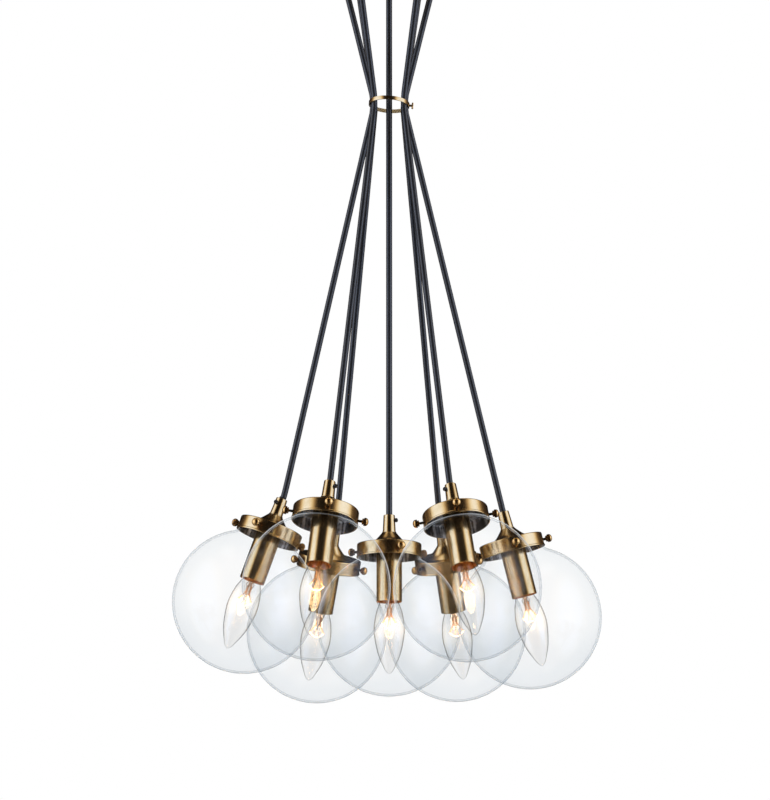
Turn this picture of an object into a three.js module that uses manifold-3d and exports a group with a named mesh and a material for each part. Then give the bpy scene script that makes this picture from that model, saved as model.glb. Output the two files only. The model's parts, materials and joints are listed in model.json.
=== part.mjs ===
// A cluster pendant: seven clear glass globes hang on black cords that one brass ring draws together.
// Millimetres, +Z up. The origin is on the ceiling, above the middle of the canopy.
import * as THREE from "three";
import { mergeVertices } from "three/addons/utils/BufferGeometryUtils.js";
import Module from "manifold-3d";

const wasm = await Module();
wasm.setup();

// Gaps between pieces
const seatGap = 0.3;
const screwClearance = 0.35;
const globeGap = 0.6;
const cutOverrun = 2;

// Ceiling canopy, a shallow dish that hides the wiring
const canopyRadius = 90;
const canopyHeight = 26;
const canopyWall = 1.2;
const canopyEdge = 4;

// Cord grips under the canopy
const gripRadius = 6.5;
const gripMouthRadius = 4.8;
const gripLength = 14;
const gripMouthLength = 5;
const gripCircle = 46.6;
const gripSpreadAngle = 47;

// Crossbar on the ceiling box, with the two studs and cap nuts that hold the canopy
const barLength = 150;
const barWidth = 22;
const barThickness = 2.5;
const slotLength = 18;
const slotWidth = 5;
const slotOffset = 38;
const studRadius = 2;
const studOffset = 62;
const capNutRadius = 5;
const capNutHeight = 8;

// Cords
const cordRadius = 3.25;
const cordGap = 0.4;
const cordExitLength = 6;
const cordApproachLength = 12;

// Ring that gathers the cords
const ringDepth = 150;
const waistRadius = 17.1;
const waistBendLength = 14;
const ringClearance = 0.55;
const ringWall = 0.85;
const ringHeight = 4.2;
const ringPitchAngle = -4.4;
const ringRollAngle = 3.9;
const ringScrewRadius = 1.2;
const ringScrewLength = 4.4;
const ringScrewBarLength = 7;
const ringScrewBarRadius = 0.9;

// Lamp heads, measured down the axis of each head from the top of its neck
const cordDrop = 444.8;
const neckTopRadius = 5.9;
const neckFootRadius = 6.8;
const neckLength = 17.9;
const neckChamfer = 0.6;
const collarRadius = 7.4;
const collarHeight = 0.7;
const coneRadius = 20;
const coneLength = 12.6;
const capRadius = 34.2;
const capHeight = 14.5;
const capWall = 1.2;
const capEdge = 1;

// Set screw that stands out of each neck and grips the cord
const setScrewRadius = 2.2;
const setScrewLength = 3.4;
const setScrewDepth = 5.6;

// Thumb screws that clamp the glass, three to a cap
const thumbShaftRadius = 1.5;
const thumbStandOff = 3.5;
const thumbKnobRadius = 4.2;
const thumbKnobLength = 6.6;
const thumbScrewDepth = 7.2;

// Socket covers with the lampholders inside
const socketRadius = 13.3;
const socketWall = 1;
const socketEdge = 1;
const socketBelowCap = 46.6;
const socketMouthDepth = 15.5;
const holderBoreRadius = 6.6;
const holderBoreDepth = 16;

// Lamps, a small screw base under a torpedo-shaped bulb
const lampBaseRadius = 5.9;
const lampCollarLength = 2;
const lampRadius = 16;
const lampLength = 75.8;

// Glass globes
const globeRadius = 75;
const glassWall = 2;
const glassNeckClearance = 2.5;
const glassNeckBelowCap = 1.4;
const glassShoulderRadius = 12;

// Facets
const canopySides = 28;
const gripSides = 8;
const ringSides = 28;
const capSides = 18;
const thumbSides = 8;
const socketSides = 14;
const lampSides = 12;
const globeSides = 20;
const cordSides = 8;
const globeSteps = 7;
const shoulderSteps = 3;

// The seven drops. The outer six hang round the centre one, about 60 degrees apart, and lean on it a little unevenly.
// side and step place a cord in the ring, where three bunch together on the left and three on the right.
// reach is a share of the least distance between two globes' centres, and lift a share of a globe's radius.
// tilt is the lean of a head, screws the directions of its thumb screws and grip that of its set screw.
const drops = [
  { name: "front_left", azimuth: 240.8, side: 180, step: 1, reach: 1.003, lift: 0.262, tilt: 13.6, screws: [-85, 7, 185], grip: -30 },
  { name: "front_right", azimuth: 301, side: 0, step: -1, reach: 1.016, lift: 0.248, tilt: 16.3, screws: [-89, 3, 180], grip: 210 },
  { name: "right", azimuth: 10.9, side: 0, step: 0, reach: 0.998, lift: 0.146, tilt: 14.3, screws: [-86, 10, 153], grip: 90 },
  { name: "back_right", azimuth: 65.4, side: 0, step: 1, reach: 1.163, lift: 0.181, tilt: 20.5, screws: [-30, 90, 212], grip: 60 },
  { name: "back_left", azimuth: 121, side: 180, step: -1, reach: 1.002, lift: 0.113, tilt: 19.7, screws: [-20, 133, 205], grip: 120 },
  { name: "left", azimuth: 181, side: 180, step: 0, reach: 1.002, lift: 0.312, tilt: 19.7, screws: [-110, 31, 161], grip: -127 },
  { name: "centre", azimuth: 0, side: 0, step: 0, reach: 0, lift: 0, tilt: 0, screws: [-72, 28, 165], grip: -15 },
];

// Heights in the row frame
const gripMouthZ = -canopyHeight - gripLength;
const ringZ = -canopyHeight - ringDepth;
const ringInnerRadius = waistRadius + cordRadius + ringClearance;
const ringOuterRadius = ringInnerRadius + ringWall;

// Heights down a head's own axis
const capTopZ = -neckLength - coneLength;
const capInsideZ = capTopZ - capWall;
const capRimZ = capTopZ - capHeight;
const glassNeckRadius = capRadius - capWall - glassNeckClearance;
const glassNeckHeight = Math.sqrt(globeRadius ** 2 - glassNeckRadius ** 2);
const globeZ = capRimZ - glassNeckBelowCap - glassNeckHeight;
const socketTopZ = capInsideZ - seatGap;
const socketEndZ = capRimZ - socketBelowCap;
const thumbScrewZ = capTopZ - thumbScrewDepth;
const centreGlobeZ = ringZ - cordDrop + globeZ;
const globeSpacing = 2 * globeRadius + globeGap;
const bunchAngle = (2 * Math.asin((cordRadius + cordGap / 2) / waistRadius) * 180) / Math.PI;

const brass = new THREE.MeshStandardMaterial({ color: 0xb08a4a, roughness: 0.32, metalness: 1 });
const castBrass = new THREE.MeshStandardMaterial({ color: 0x9a7640, roughness: 0.4, metalness: 1 });
const steel = new THREE.MeshStandardMaterial({ color: 0xa9abad, roughness: 0.45, metalness: 1 });
const cordBlack = new THREE.MeshStandardMaterial({ color: 0x17191c, roughness: 0.55, metalness: 0 });
const globeGlass = new THREE.MeshStandardMaterial({
  color: 0xeef4f6,
  roughness: 0.03,
  metalness: 0,
  transparent: true,
  opacity: 0.3,
});
const lampGlass = new THREE.MeshStandardMaterial({ color: 0xf6e3c4, roughness: 0.05, metalness: 0 });

const radians = THREE.MathUtils.degToRad;

// A point at a distance from the Z axis, in a direction, at a height
function polar(radius, angle, z) {
  return new THREE.Vector3(radius * Math.cos(radians(angle)), radius * Math.sin(radians(angle)), z);
}

// A solid of revolution about Z, from pairs of radius and height that run upwards on the outside
function turned(profile, sides) {
  const points = profile.map(([radius, height]) => new THREE.Vector2(radius, height));
  return new THREE.LatheGeometry(points, sides).rotateX(Math.PI / 2);
}

function cylinder(radius, low, high, sides) {
  const outline = [
    [0, low],
    [radius, low],
    [radius, high],
    [0, high],
  ];
  return turned(outline, sides);
}

function solid(geometry) {
  const bare = geometry.index ? geometry.toNonIndexed() : geometry.clone();
  bare.deleteAttribute("normal");
  bare.deleteAttribute("uv");
  const merged = mergeVertices(bare);
  const vertProperties = merged.getAttribute("position").array;
  const triVerts = new Uint32Array(merged.index.array);
  return new wasm.Manifold(new wasm.Mesh({ numProp: 3, vertProperties, triVerts }));
}

function geometryOf(body) {
  const mesh = body.getMesh();
  const geometry = new THREE.BufferGeometry();
  geometry.setAttribute("position", new THREE.BufferAttribute(mesh.vertProperties, 3));
  geometry.setIndex(new THREE.BufferAttribute(mesh.triVerts, 1));
  geometry.computeVertexNormals();
  return geometry;
}

function piece(name, geometry, material) {
  const mesh = new THREE.Mesh(geometry, material);
  mesh.name = name;
  return mesh;
}

// Points along a route, with a step of the tube at each of them
class Route extends THREE.Curve {
  constructor(points) {
    super();
    this.points = points;
  }

  getPoint(share, target = new THREE.Vector3()) {
    const place = share * (this.points.length - 1);
    const index = Math.min(Math.floor(place), this.points.length - 2);
    return target.lerpVectors(this.points[index], this.points[index + 1], place - index);
  }

  getUtoTmapping(share) {
    return share;
  }
}

// Canopy, with its cord grips and its two stud holes
function gripPlace(drop) {
  const onRing = drop.reach > 0 ? gripCircle : 0;
  return polar(onRing, drop.side + drop.step * gripSpreadAngle, gripMouthZ);
}

function canopyGeometry() {
  const inner = canopyRadius - canopyWall;
  const dish = [
    [0, -canopyHeight],
    [canopyRadius - canopyEdge, -canopyHeight],
    [canopyRadius - canopyEdge * (1 - Math.SQRT1_2), -canopyHeight + canopyEdge * (1 - Math.SQRT1_2)],
    [canopyRadius, -canopyHeight + canopyEdge],
    [canopyRadius, 0],
    [inner, 0],
    [inner, -canopyHeight + canopyEdge],
    [canopyRadius - canopyEdge, -canopyHeight + canopyWall],
    [0, -canopyHeight + canopyWall],
  ];
  const grip = [
    [0, 0],
    [gripMouthRadius, 0],
    [gripRadius, gripMouthLength],
    [gripRadius, gripLength + canopyWall / 2],
    [0, gripLength + canopyWall / 2],
  ];
  let body = solid(turned(dish, canopySides));
  for (const drop of drops) {
    const place = gripPlace(drop);
    body = body.add(solid(turned(grip, gripSides).translate(place.x, place.y, place.z)));
  }
  for (const x of [-studOffset, studOffset]) {
    const hole = cylinder(studRadius + screwClearance, -canopyHeight - cutOverrun, cutOverrun, gripSides);
    body = body.subtract(solid(hole.translate(x, 0, 0)));
  }
  return geometryOf(body);
}

// Crossbar, a flat bar with two slots, a stud at each end and the cap nut on each stud
function slotShape() {
  const straight = (slotLength - slotWidth) / 2;
  const shape = new THREE.Shape();
  shape.absarc(straight, 0, slotWidth / 2, -Math.PI / 2, Math.PI / 2, false);
  shape.absarc(-straight, 0, slotWidth / 2, Math.PI / 2, (3 * Math.PI) / 2, false);
  return shape;
}

function bracketGeometry() {
  const bar = new THREE.BoxGeometry(barLength, barWidth, barThickness);
  let body = solid(bar.translate(0, 0, -barThickness / 2));
  const slot = new THREE.ExtrudeGeometry(slotShape(), {
    depth: barThickness + 2 * cutOverrun,
    bevelEnabled: false,
    curveSegments: 5,
  });
  slot.translate(0, 0, -barThickness - cutOverrun);
  const nutTop = -canopyHeight - seatGap;
  const nut = [
    [0, nutTop - capNutHeight],
    [capNutRadius * 0.6, nutTop - capNutHeight * 0.88],
    [capNutRadius, nutTop - capNutHeight / 2],
    [capNutRadius, nutTop],
    [0, nutTop],
  ];
  for (const direction of [-1, 1]) {
    body = body.subtract(solid(slot.clone().translate(direction * slotOffset, 0, 0)));
    const stud = cylinder(studRadius, nutTop - capNutHeight / 2, -barThickness / 2, gripSides);
    body = body.add(solid(stud.translate(direction * studOffset, 0, 0)));
    body = body.add(solid(turned(nut, gripSides).translate(direction * studOffset, 0, 0)));
  }
  return geometryOf(body);
}

// Gathering ring, a plain band with a hole for its screw
function ringGeometry() {
  const band = [
    [ringInnerRadius, -ringHeight / 2],
    [ringOuterRadius, -ringHeight / 2],
    [ringOuterRadius, ringHeight / 2],
    [ringInnerRadius, ringHeight / 2],
    [ringInnerRadius, -ringHeight / 2],
  ];
  const hole = cylinder(ringScrewRadius + screwClearance, 0, ringOuterRadius + cutOverrun, thumbSides);
  return geometryOf(solid(turned(band, ringSides)).subtract(solid(hole.rotateY(Math.PI / 2))));
}

// Ring screw, a short shank with a bar across its end
function ringScrewGeometry() {
  const tip = ringInnerRadius - ringClearance / 2;
  const end = tip + ringScrewLength;
  const shank = cylinder(ringScrewRadius, tip, end + ringScrewBarRadius, thumbSides).rotateY(Math.PI / 2);
  const bar = cylinder(ringScrewBarRadius, -ringScrewBarLength / 2, ringScrewBarLength / 2, thumbSides);
  return geometryOf(solid(shank).add(solid(bar.translate(end, 0, 0))));
}

// Head of a drop: where its neck is and how it leans
function headAxis(drop) {
  const lean = radians(drop.tilt);
  return polar(Math.sin(lean), drop.azimuth, -Math.cos(lean));
}

function globeCentre(drop) {
  const reach = drop.reach * globeSpacing;
  return polar(reach, drop.azimuth, centreGlobeZ + drop.lift * globeRadius);
}

function neckPlace(drop) {
  return globeCentre(drop).addScaledVector(headAxis(drop), globeZ);
}

function headGroup(drop) {
  const group = new THREE.Group();
  const azimuth = radians(drop.azimuth);
  const hinge = new THREE.Vector3(Math.sin(azimuth), -Math.cos(azimuth), 0);
  group.position.copy(neckPlace(drop));
  group.quaternion.setFromAxisAngle(hinge, radians(drop.tilt));
  return group;
}

// Holder: the neck that grips the cord, the flared cone and the shallow cap round the glass
function holderGeometry() {
  const coneFoot = neckLength + collarHeight;
  const flare = coneRadius - collarRadius;
  const rise = coneLength - collarHeight;
  const profile = [
    [0, capInsideZ],
    [capRadius - capWall, capInsideZ],
    [capRadius - capWall, capRimZ],
    [capRadius, capRimZ],
    [capRadius, capTopZ - capEdge],
    [capRadius - capEdge, capTopZ],
    [coneRadius, capTopZ],
    [collarRadius + flare * 0.56, -coneFoot - rise * 0.66],
    [collarRadius + flare * 0.23, -coneFoot - rise * 0.29],
    [collarRadius, -coneFoot],
    [collarRadius, -neckLength],
    [neckFootRadius, -neckLength],
    [neckTopRadius, -neckChamfer],
    [neckTopRadius - neckChamfer, 0],
    [0, 0],
  ];
  return solid(turned(profile, capSides));
}

function drilledHolderGeometry(drop) {
  const setScrew = cylinder(setScrewRadius, 0, neckTopRadius + setScrewLength, thumbSides);
  setScrew.rotateY(Math.PI / 2).translate(0, 0, -setScrewDepth).rotateZ(radians(drop.grip));
  let body = holderGeometry().add(solid(setScrew));
  for (const angle of drop.screws) {
    const drill = cylinder(thumbShaftRadius + screwClearance, glassNeckRadius, capRadius + cutOverrun, thumbSides);
    drill.rotateY(Math.PI / 2).translate(0, 0, thumbScrewZ).rotateZ(radians(angle));
    body = body.subtract(solid(drill));
  }
  return geometryOf(body);
}

// Thumb screw, a thin shank with a ball-like knob, its tip just clear of the glass
function thumbScrewGeometry() {
  const tip = glassNeckRadius + seatGap;
  const knob = capRadius + thumbStandOff;
  const profile = [
    [0, tip],
    [thumbShaftRadius, tip],
    [thumbShaftRadius, knob],
    [thumbKnobRadius * 0.82, knob + thumbKnobLength * 0.08],
    [thumbKnobRadius, knob + thumbKnobLength * 0.36],
    [thumbKnobRadius * 0.92, knob + thumbKnobLength * 0.7],
    [thumbKnobRadius * 0.6, knob + thumbKnobLength * 0.93],
    [0, knob + thumbKnobLength],
  ];
  return turned(profile, thumbSides).rotateY(Math.PI / 2).translate(0, 0, thumbScrewZ);
}

// Socket cover, open at its mouth, with the lampholder's bore inside
function socketGeometry() {
  const mouthTop = socketEndZ + socketMouthDepth;
  const profile = [
    [0, mouthTop + holderBoreDepth],
    [holderBoreRadius, mouthTop + holderBoreDepth],
    [holderBoreRadius, mouthTop],
    [socketRadius - socketWall, mouthTop],
    [socketRadius - socketWall, socketEndZ],
    [socketRadius, socketEndZ],
    [socketRadius, socketTopZ - socketEdge],
    [socketRadius - socketEdge, socketTopZ],
    [0, socketTopZ],
  ];
  return turned(profile, socketSides);
}

// Lamp: shares of its radius and of its visible length, from the socket's mouth to the tip
const lampShares = [
  [0.6, 0],
  [0.86, 0.15],
  [1, 0.34],
  [0.96, 0.5],
  [0.72, 0.73],
  [0.31, 0.93],
  [0, 1],
];

function lampGeometry() {
  const baseTop = socketEndZ + socketMouthDepth + holderBoreDepth - seatGap;
  const bulb = lampShares.map(([wide, along]) => [wide * lampRadius, socketEndZ - along * lampLength]);
  const profile = [
    ...bulb.reverse(),
    [lampBaseRadius + socketWall, socketEndZ + socketMouthDepth - lampCollarLength],
    [lampBaseRadius, socketEndZ + socketMouthDepth],
    [lampBaseRadius, baseTop],
    [0, baseTop],
  ];
  return turned(profile, lampSides);
}

// One face of the glass, from the foot of the globe up its side and shoulder to the top of the neck
function glassFace(radius, neckRadius, shoulder) {
  const middle = neckRadius + shoulder;
  const middleHeight = Math.sqrt((radius + shoulder) ** 2 - middle ** 2);
  const join = Math.asin(middle / (radius + shoulder));
  const arc = Array.from({ length: globeSteps + 1 }, (unused, index) => {
    const angle = Math.PI + ((join - Math.PI) * index) / globeSteps;
    return [radius * Math.sin(angle), globeZ + radius * Math.cos(angle)];
  });
  arc[0][0] = 0;
  const bend = Array.from({ length: shoulderSteps }, (unused, index) => {
    const angle = join + ((Math.PI / 2 - join) * (index + 1)) / shoulderSteps;
    return [middle - shoulder * Math.sin(angle), globeZ + middleHeight - shoulder * Math.cos(angle)];
  });
  return [...arc, ...bend, [neckRadius, capInsideZ - seatGap]];
}

// Globe: a sphere with a short straight neck that stands in the cap, and a hollow shoulder between them
function globeGeometry() {
  const outer = glassFace(globeRadius, glassNeckRadius, glassShoulderRadius);
  const inner = glassFace(globeRadius - glassWall, glassNeckRadius - glassWall, glassShoulderRadius + glassWall);
  return turned([...outer, ...inner.reverse()], globeSides);
}

// Cord of a drop: straight out of its grip, in to the ring, out to its head and down into the neck
function cordRoute(drop) {
  const top = gripPlace(drop).setZ(gripMouthZ - seatGap);
  const exit = top.clone().setZ(top.z - cordExitLength);
  const axis = headAxis(drop);
  const neck = neckPlace(drop);
  const end = neck.clone().addScaledVector(axis, -seatGap);
  const approach = neck.clone().addScaledVector(axis, -cordApproachLength);
  if (drop.reach === 0) {
    return [top, polar(0, 0, ringZ), end];
  }
  const bend = waistBend(drop, exit, approach);
  const upper = [0.35, 0.7].map((share) => exit.clone().lerp(bend[0], share));
  const lower = [0.25, 0.5, 0.75].map((share) => bend[bend.length - 1].clone().lerp(approach, share));
  return [top, exit, ...upper, ...bend, ...lower, approach, end];
}

// The bend in the ring: its middle is on the waist circle, and its ends run towards the two given points
function waistBend(drop, above, below) {
  const waist = polar(waistRadius, drop.side + drop.step * bunchAngle, ringZ);
  const up = above.clone().sub(waist).setLength(waistBendLength);
  const down = below.clone().sub(waist).setLength(waistBendLength);
  const sag = up.clone().add(down).multiplyScalar(-0.25);
  const corner = waist.clone().add(sag);
  const curve = new THREE.QuadraticBezierCurve3(corner.clone().add(up), corner, corner.clone().add(down));
  return curve.getPoints(6);
}

function cordGeometry(drop) {
  const points = cordRoute(drop);
  const section = new THREE.Shape(
    Array.from({ length: cordSides }, (unused, index) => {
      const angle = (index * 2 * Math.PI) / cordSides;
      return new THREE.Vector2(cordRadius * Math.cos(angle), cordRadius * Math.sin(angle));
    }),
  );
  return new THREE.ExtrudeGeometry(section, { steps: points.length - 1, extrudePath: new Route(points) });
}

const pendant = new THREE.Group();
pendant.add(piece("canopy", canopyGeometry(), brass));
pendant.add(piece("ceiling_bracket", bracketGeometry(), steel));

const ringGroup = new THREE.Group();
ringGroup.position.set(0, 0, ringZ);
ringGroup.rotation.set(radians(ringPitchAngle), radians(ringRollAngle), 0);
ringGroup.add(piece("gather_ring", ringGeometry(), brass));
ringGroup.add(piece("gather_ring_screw", ringScrewGeometry(), castBrass));
pendant.add(ringGroup);

for (const drop of drops) {
  pendant.add(piece("cord_" + drop.name, cordGeometry(drop), cordBlack));
  const head = headGroup(drop);
  head.add(piece("holder_" + drop.name, drilledHolderGeometry(drop), brass));
  head.add(piece("socket_" + drop.name, socketGeometry(), brass));
  head.add(piece("lamp_" + drop.name, lampGeometry(), lampGlass));
  head.add(piece("globe_" + drop.name, globeGeometry(), globeGlass));
  drop.screws.forEach((angle, index) => {
    const screw = piece("thumb_screw_" + drop.name + "_" + (index + 1), thumbScrewGeometry(), castBrass);
    screw.rotation.z = radians(angle);
    head.add(screw);
  });
  pendant.add(head);
}

export default pendant;
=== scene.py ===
import json
import math

import bmesh
import bpy
from mathutils import Matrix, Vector


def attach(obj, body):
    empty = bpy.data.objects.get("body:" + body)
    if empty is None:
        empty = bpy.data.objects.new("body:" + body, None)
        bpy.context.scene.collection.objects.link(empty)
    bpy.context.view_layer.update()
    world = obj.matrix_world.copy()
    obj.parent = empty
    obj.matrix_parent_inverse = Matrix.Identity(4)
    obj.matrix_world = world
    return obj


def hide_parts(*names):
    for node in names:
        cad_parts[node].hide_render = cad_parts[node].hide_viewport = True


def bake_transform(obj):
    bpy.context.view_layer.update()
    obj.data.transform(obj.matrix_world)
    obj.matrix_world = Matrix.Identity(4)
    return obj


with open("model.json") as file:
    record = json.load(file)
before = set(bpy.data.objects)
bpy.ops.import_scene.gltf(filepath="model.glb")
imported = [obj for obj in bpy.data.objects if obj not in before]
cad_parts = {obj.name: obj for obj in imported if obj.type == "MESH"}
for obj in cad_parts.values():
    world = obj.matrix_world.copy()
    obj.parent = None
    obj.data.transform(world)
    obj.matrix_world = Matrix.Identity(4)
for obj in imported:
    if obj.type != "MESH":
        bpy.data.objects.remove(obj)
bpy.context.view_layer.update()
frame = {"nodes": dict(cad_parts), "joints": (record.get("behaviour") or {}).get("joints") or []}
joints = {j["name"]: j for j in frame["joints"]}

MM = 0.001
DROPS = ["front_left", "front_right", "right", "back_right", "back_left", "left", "centre"]

# Canopy, grips and ring, in millimetres
CANOPY_RADIUS = 90.0
CANOPY_HEIGHT = 26.0
CANOPY_WALL = 1.2
CANOPY_EDGE = 4.0
GRIP_LENGTH = 14.0
GRIP_FLUTES = 18
GRIP_FLUTE_DEPTH = 0.1
GRIP_CIRCLE = 46.6
GRIP_SPREAD = 47.0
CORD_RADIUS = 3.25
CORD_GAP = 0.4
SEAT_GAP = 0.3
RING_DEPTH = 150.0
WAIST_RADIUS = 17.1
RING_INNER = WAIST_RADIUS + CORD_RADIUS + 0.55
RING_OUTER = RING_INNER + 0.85
RING_HEIGHT = 4.2
RING_PITCH = -4.4
RING_ROLL = 3.9
GRIP_Z = -CANOPY_HEIGHT - GRIP_LENGTH
RING_Z = -CANOPY_HEIGHT - RING_DEPTH

# Heads, in millimetres down their own axis from the top of the neck
NECK_TOP_RADIUS = 5.9
NECK_FOOT_RADIUS = 6.8
NECK_LENGTH = 17.9
COLLAR_RADIUS = 7.4
COLLAR_HEIGHT = 0.7
CONE_RADIUS = 20.0
CONE_LENGTH = 12.6
CAP_TOP = -NECK_LENGTH - CONE_LENGTH
CAP_RADIUS = 34.2
CAP_WALL = 1.2
CAP_INSIDE = CAP_TOP - CAP_WALL
CAP_RIM = CAP_TOP - 14.5
SET_SCREW_DEPTH = 5.6
SET_SCREW_RADIUS = 2.2
SET_SCREW_END = NECK_TOP_RADIUS + 3.4
SOCKET_RADIUS = 13.3
SOCKET_WALL = 1.0
SOCKET_TOP = CAP_INSIDE - SEAT_GAP
SOCKET_END = CAP_RIM - 46.6
SOCKET_MOUTH = SOCKET_END + 15.5
LAMP_RADIUS = 16.0
LAMP_LENGTH = 75.8
GLOBE_RADIUS = 75.0
GLASS_WALL = 2.0
GLASS_NECK = 30.5
GLASS_SHOULDER = 12.0
GLASS_BELOW_CAP = 1.4
GLOBE_Z = CAP_RIM - GLASS_BELOW_CAP - math.sqrt(GLOBE_RADIUS**2 - GLASS_NECK**2)
THUMB_Z = CAP_TOP - 7.2
THUMB_TIP = GLASS_NECK + SEAT_GAP
THUMB_KNOB = CAP_RADIUS + 3.5
THUMB_KNOB_LENGTH = 6.6
THUMB_KNOB_RADIUS = 4.2
THUMB_THREAD_TURNS = 14
THUMB_THREAD_PITCH = 0.46
KNOB_DOME = 3.0
KNOB_RIBS = 14
KNOB_RIB_DEPTH = 0.38
HOLE_RADIUS = 1.85
HOLE_START = 28.0
HOLE_END = 38.0
LAMP_JOINT_DEPTH = 80.0
LAMP_BASE_LENGTH = 16.0
GLOW_DEPTH = 24.0

# How the cone's curve runs between the collar and the cap, as shares of its flare and its height
CONE_CURVE = [(0.23, 0.29), (0.56, 0.66)]

# Cords, in millimetres: straight below the grip and above the neck, and half of the bend at the ring
CORD_LEAVE = 6.0
CORD_APPROACH = 12.0
BEND_REACH = 14.0

# Where each cord passes the ring, the direction of each neck's set screw and those of the thumb screws
SIDES = {
    "front_left": (180, 1, -30, (-85, 7, 185)),
    "front_right": (0, -1, 210, (-89, 3, 180)),
    "right": (0, 0, 90, (-86, 10, 153)),
    "back_right": (0, 1, 60, (-30, 90, 212)),
    "back_left": (180, -1, 120, (-20, 133, 205)),
    "left": (180, 0, -127, (-110, 31, 161)),
    "centre": (0, 0, -15, (-72, 28, 165)),
}

# The camera, in metres and degrees, with its focal length in pixels of a picture of this height
CAMERA_SPOT = (-0.0044, -4.0, (RING_Z - 1122) * MM)
CAMERA_TILT = 11.31
FOCAL_PIXELS = 3879
PICTURE_HEIGHT = 800
SENSOR_WIDTH = 36

# Looks: the brush lines' stretch, where clear glass takes painted shade, how it mirrors and the colour of
# its pale painted highlight at the edges
BRUSH_STRETCH = (12, 12, 2600)
# Spans of the glass's painted shade, towards its outline and towards its lowest point
PAINTED_SIDE_SHADE_SPAN = (0.12, 0.45)
PAINTED_LOW_SHADE_SPAN = (0.2, 0.5)
MIRROR_POWER = 5.0
PAINTED_EDGE_HIGHLIGHT_COLOUR = (0.62, 0.68, 0.73)

# The floor, in metres, with the share of the white behind it that it lets through near its middle
FLOOR_REACH = 12.0
FLOOR_HEIGHT = -2.6
FLOOR_FADE_START = 3.0
FLOOR_FADE_END = 11.0
FLOOR_CLEAR = 0.68

# The room that metal and glass mirror, from its dark parts to its screens, and where its lamps point
ROOM_SHADES = [
    (0.0, (0.008, 0.006, 0.005)),
    (0.12, (0.024, 0.015, 0.01)),
    (0.3, (0.18, 0.12, 0.07)),
    (0.55, (0.56, 0.43, 0.25)),
    (0.8, (0.86, 0.84, 0.8)),
    (1.0, (0.87, 0.98, 1.28)),
]
ROOM_STRENGTH = 1.45
LIGHT_TARGET = (0, 0, -0.55)


# Camera and meshes
def make_camera():
    """The camera stands below the pendant and looks up at it."""
    data = bpy.data.cameras.new("camera")
    data.sensor_width = SENSOR_WIDTH
    data.lens = FOCAL_PIXELS / PICTURE_HEIGHT * SENSOR_WIDTH
    data.clip_start = 0.05
    data.clip_end = 150
    camera = bpy.data.objects.new("camera", data)
    bpy.context.scene.collection.objects.link(camera)
    camera.location = CAMERA_SPOT
    camera.rotation_euler = (math.radians(90 + CAMERA_TILT), 0, 0)
    bpy.context.scene.camera = camera


def link(name, mesh, material=None):
    piece = bpy.data.objects.new(name, mesh)
    bpy.context.scene.collection.objects.link(piece)
    if material:
        mesh.materials.append(material)
    return piece


def mesh_of(name, points, faces, angle=35):
    mesh = bpy.data.meshes.new(name)
    mesh.from_pydata([tuple(c * MM for c in p) for p in points], [], faces)
    shell = bmesh.new()
    shell.from_mesh(mesh)
    bmesh.ops.recalc_face_normals(shell, faces=shell.faces)
    shell.to_mesh(mesh)
    shell.free()
    mesh.shade_smooth()
    mesh.set_sharp_from_angle(angle=math.radians(angle))
    return mesh


def lathe(name, profile, sides=96, closed=False, shape=None, angle=35):
    """A solid of revolution about Z. The profile starts and ends on the axis, or closes on itself."""
    points, rings = [], []
    for radius, height in profile:
        if radius < 1e-6:
            rings.append([len(points)])
            points.append((0, 0, height))
            continue
        ring = []
        for step in range(sides):
            turn = 2 * math.pi * step / sides
            wide = radius if shape is None else shape(radius, height, turn)
            ring.append(len(points))
            points.append((wide * math.cos(turn), wide * math.sin(turn), height))
        rings.append(ring)
    faces = []
    pairs = list(zip(rings, rings[1:]))
    if closed:
        pairs.append((rings[-1], rings[0]))
    for low, high in pairs:
        for step in range(sides):
            after = (step + 1) % sides
            if len(low) == 1 and len(high) == 1:
                continue
            if len(low) == 1:
                faces.append((low[0], high[after], high[step]))
            elif len(high) == 1:
                faces.append((low[step], low[after], high[0]))
            else:
                faces.append((low[step], low[after], high[after], high[step]))
    return mesh_of(name, points, faces, angle)


def rounded(corners, steps=5, closed=False):
    """A profile with an arc at each corner that has a radius as its third number."""
    result = []
    count = len(corners)
    for index, corner in enumerate(corners):
        here = Vector(corner[:2])
        radius = corner[2] if len(corner) > 2 else 0
        inner = 0 < index < count - 1 or closed
        if radius <= 0 or not inner:
            result.append(tuple(here))
            continue
        before = Vector(corners[index - 1][:2]) - here
        after = Vector(corners[(index + 1) % count][:2]) - here
        half = before.angle(after) / 2
        reach = min(radius / math.tan(half), before.length * 0.49, after.length * 0.49)
        first = here + before.normalized() * reach
        last = here + after.normalized() * reach
        for step in range(steps + 1):
            share = step / steps
            spot = first * (1 - share) ** 2 + here * 2 * share * (1 - share) + last * share**2
            result.append(tuple(spot))
    return result


def smooth_line(knots, count):
    """Points on a Catmull-Rom line through the knots, which are tuples of any length."""
    knots = [Vector(k) for k in knots]
    knots = [knots[0] * 2 - knots[1], *knots, knots[-1] * 2 - knots[-2]]
    spans = len(knots) - 3
    result = []
    for step in range(count + 1):
        along = step / count * spans
        index = min(int(along), spans - 1)
        t = along - index
        a, b, c, d = knots[index : index + 4]
        spot = b * 2 + (c - a) * t + (a * 2 - b * 5 + c * 4 - d) * t * t
        spot += (b * 3 - a - c * 3 + d) * t**3
        result.append(spot * 0.5)
    return result


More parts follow.
